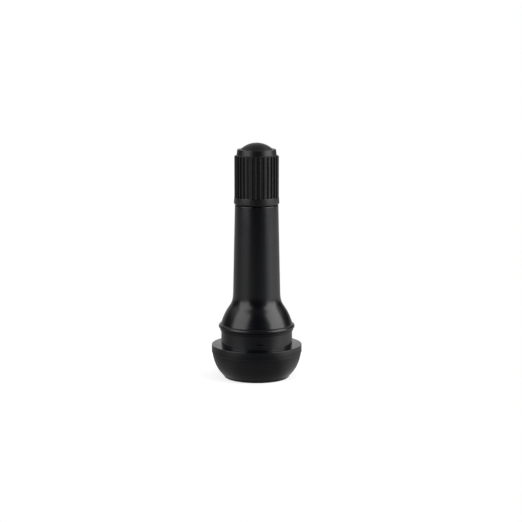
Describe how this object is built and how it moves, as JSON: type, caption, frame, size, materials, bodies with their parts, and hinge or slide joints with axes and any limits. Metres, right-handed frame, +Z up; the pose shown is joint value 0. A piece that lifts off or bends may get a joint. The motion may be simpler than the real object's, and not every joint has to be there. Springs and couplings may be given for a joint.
{
  "type": "tyre valve",
  "caption": "Snap-in rubber tyre valve for a tubeless wheel: bonded brass stem with a sprung core and a ribbed screw-on dust cap.",
  "frame": {"origin": "centre of the flat foot that the valve stands on", "axes": "+Z up the valve's long axis, from the foot to the cap's dome"},
  "size_m": [0.0196, 0.0196, 0.0507],
  "materials": {
    "moulded_rubber": "black moulded rubber, semi-gloss",
    "stem_brass": "turned brass",
    "core_brass": "fine turned brass",
    "gasket_rubber": "dull red gasket rubber",
    "seal_rubber": "dull black seal rubber",
    "spring_steel": "bright spring steel",
    "cap_plastic": "black moulded plastic, satin"
  },
  "bodies": {
    "valve_body": {"rubber_body": "moulded_rubber", "brass_stem": "stem_brass"},
    "barrel": {"core_barrel": "core_brass", "barrel_gasket": "gasket_rubber"},
    "plug": {"core_plug": "core_brass"},
    "pin": {"core_pin": "core_brass", "spring_collar": "spring_steel", "core_spring": "spring_steel", "pin_cup": "core_brass", "cup_seal": "seal_rubber"},
    "cap_washer": {"cap_seal": "seal_rubber"},
    "cap": {"cap": "cap_plastic"}
  },
  "joints": [
    {"name": "cap_lift", "type": "slide", "parent": "valve_body", "child": "cap_washer", "axis": [0, 0, 1], "range_m": [0, 0.01111]},
    {"name": "cap_turn", "type": "hinge", "parent": "cap_washer", "child": "cap", "pos_m": [0, 0, 0.049], "axis": [0, 0, 1], "range_deg": [0, 5041]},
    {"name": "core_rise", "type": "slide", "parent": "valve_body", "child": "barrel", "axis": [0, 0, 1], "range_m": [0, 0.00141]},
    {"name": "core_turn", "type": "hinge", "parent": "barrel", "child": "plug", "pos_m": [0, 0, 0.0412], "axis": [0, 0, 1], "range_deg": [0, 721]},
    {"name": "pin_press", "type": "slide", "parent": "barrel", "child": "pin", "axis": [0, 0, -1], "range_m": [0, 0.0015], "stiffness_N_per_m": 600, "deforming": ["core_spring"]}
  ],
  "couplings": [
    {"joint": "cap_turn", "follows": "cap_lift", "rad_per_m": 7915.8},
    {"joint": "core_turn", "follows": "core_rise", "rad_per_m": 8905.3}
  ]
}
